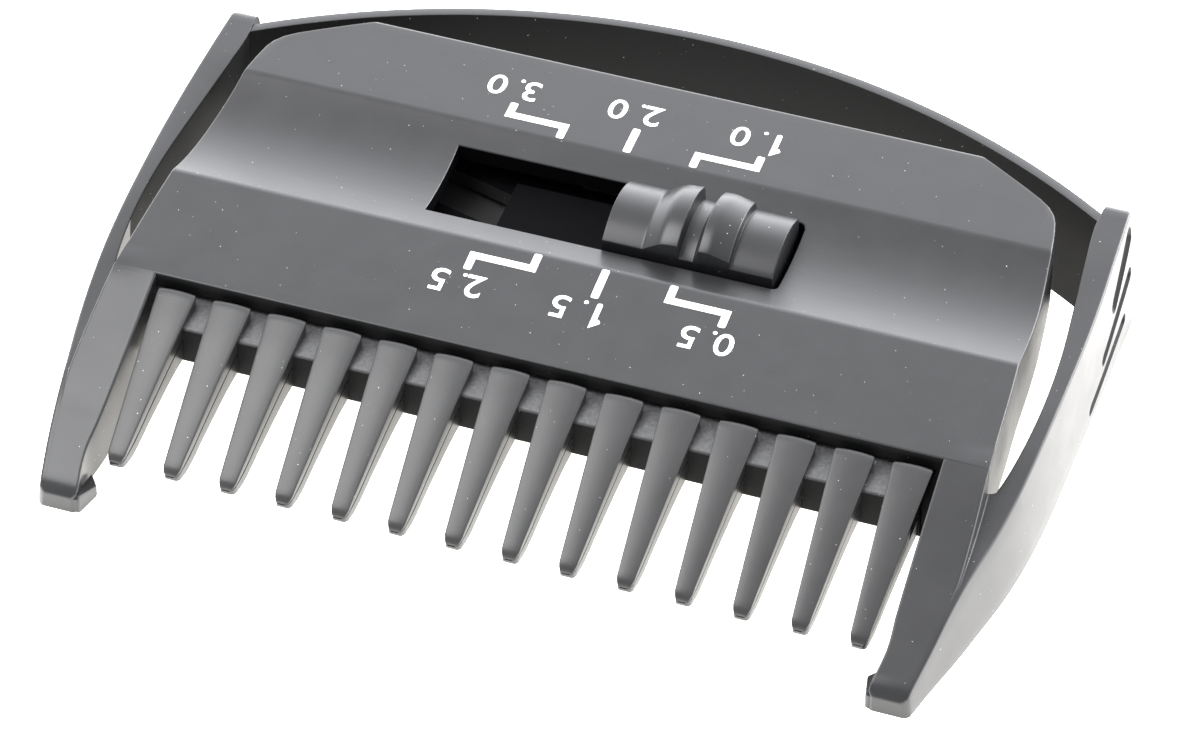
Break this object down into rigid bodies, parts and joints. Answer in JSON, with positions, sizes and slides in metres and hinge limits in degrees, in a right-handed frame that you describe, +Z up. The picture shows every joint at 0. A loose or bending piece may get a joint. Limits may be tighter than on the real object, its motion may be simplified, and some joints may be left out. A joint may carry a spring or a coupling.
{
  "type": "hair clipper guide comb",
  "caption": "Adjustable guide comb for a hair clipper: a row of tapered teeth on a slider that a thumb slide moves in and out along a printed scale.",
  "frame": {"origin": "centre of the underside's bounding rectangle, on the plane that the wings and feet rest on", "axes": "+X to the right along the row of teeth, -Y towards the tooth tips, +Z up out of the top panel"},
  "size_m": [0.0542, 0.041, 0.0098],
  "materials": {
    "charcoal": "satin moulded charcoal grey plastic",
    "slide_black": "satin moulded dark grey plastic",
    "steel": "plain bright steel"
  },
  "bodies": {
    "frame": {"body_frame": "charcoal", "back_plate": "charcoal", "detent_spring": "steel", "plate_screw_1": "steel", "plate_screw_2": "steel", "plate_screw_3": "steel", "plate_screw_4": "steel"},
    "comb": {"comb": "charcoal"},
    "slide": {"thumb_slide": "slide_black", "slide_carriage": "slide_black"}
  },
  "joints": [
    {"name": "thumb_travel", "type": "slide", "parent": "frame", "child": "slide", "axis": [-1, 0, 0], "range_m": [0, 0.0098]},
    {"name": "comb_travel", "type": "slide", "parent": "frame", "child": "comb", "axis": [0, -0.9962, -0.0872], "range_m": [0, 0.0025]}
  ],
  "couplings": [
    {"joint": "comb_travel", "follows": "thumb_travel", "ratio": 0.255}
  ]
}
